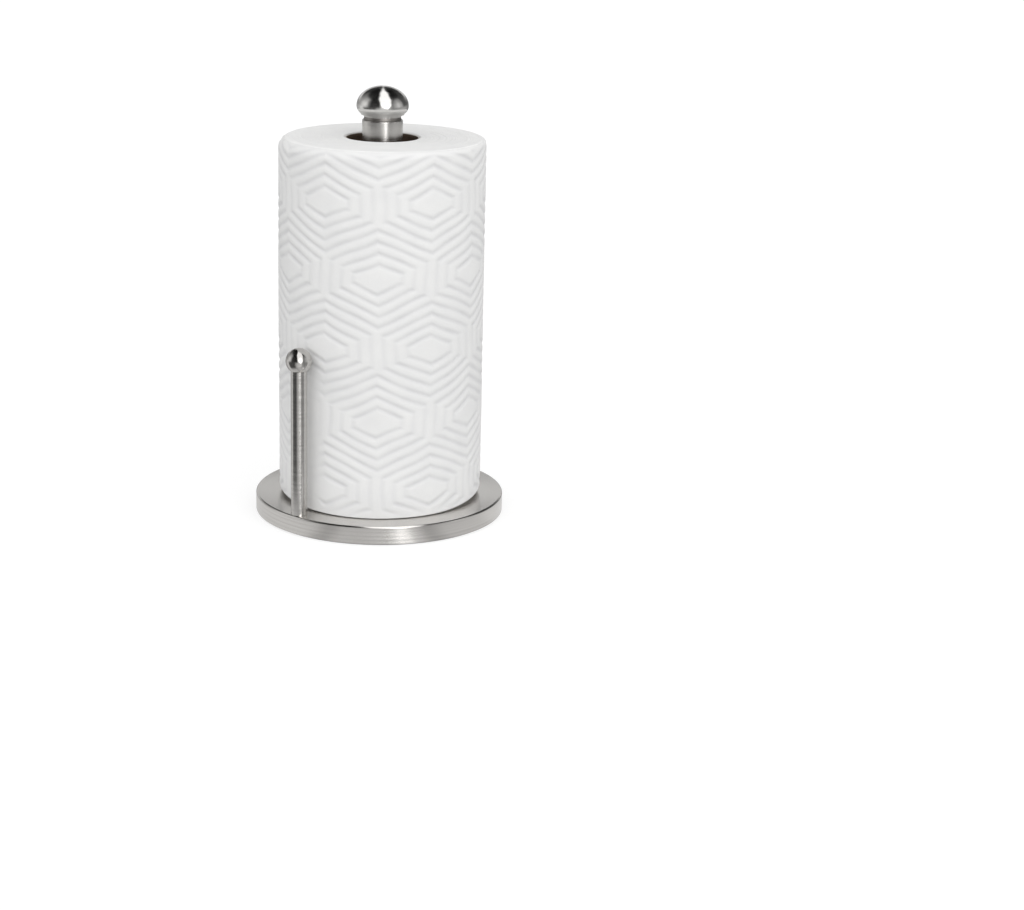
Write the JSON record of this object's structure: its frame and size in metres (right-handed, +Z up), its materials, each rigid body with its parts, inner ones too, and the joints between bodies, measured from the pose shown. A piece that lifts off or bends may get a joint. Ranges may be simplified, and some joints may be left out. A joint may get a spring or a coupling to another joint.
{
  "type": "paper towel holder",
  "caption": "Free-standing steel paper towel holder: round weighted base, ball-topped centre post, slim side post and a full embossed roll that turns and lifts off.",
  "frame": {"origin": "middle of the pad's underside, on the counter and on the centre post's axis", "axes": "+Z up along the centre post; the side post stands on -Y; X is across"},
  "size_m": [0.195, 0.198, 0.3337],
  "materials": {
    "satin_steel": "satin",
    "polished_steel": "polished",
    "zinc_steel": "satin",
    "weight_iron": "matte",
    "plug_alloy": "satin",
    "pad_rubber": "matte",
    "core_card": "matte",
    "towel_roll": "matte",
    "towel_sheet": "matte"
  },
  "bodies": {
    "holder": {"foot_pad": "pad_rubber", "base_plate": "zinc_steel", "plate_screws": "zinc_steel", "base_weight": "weight_iron", "base_cover": "satin_steel", "post_bolt": "zinc_steel", "post_bolt_washer": "zinc_steel", "post_lower_plug": "plug_alloy", "post_tube": "satin_steel", "post_upper_plug": "plug_alloy", "finial_collar": "satin_steel", "finial_stud": "zinc_steel", "finial_insert": "plug_alloy", "finial_ball": "polished_steel", "side_screw": "zinc_steel", "side_screw_washer": "zinc_steel", "side_lower_plug": "plug_alloy", "side_tube": "satin_steel", "side_upper_plug": "plug_alloy", "side_ball": "polished_steel"},
    "core": {"roll_core": "core_card"},
    "towel": {"paper_roll": "towel_roll", "outer_sheet": "towel_sheet"}
  },
  "joints": [
    {"name": "roll_lift", "type": "slide", "parent": "holder", "child": "core", "axis": [0, 0, 1], "range_m": [0, 0.325]},
    {"name": "roll_spin", "type": "hinge", "parent": "core", "child": "towel", "pos_m": [0, 0, 0.15], "axis": [0, 0, 1], "continuous": true}
  ]
}
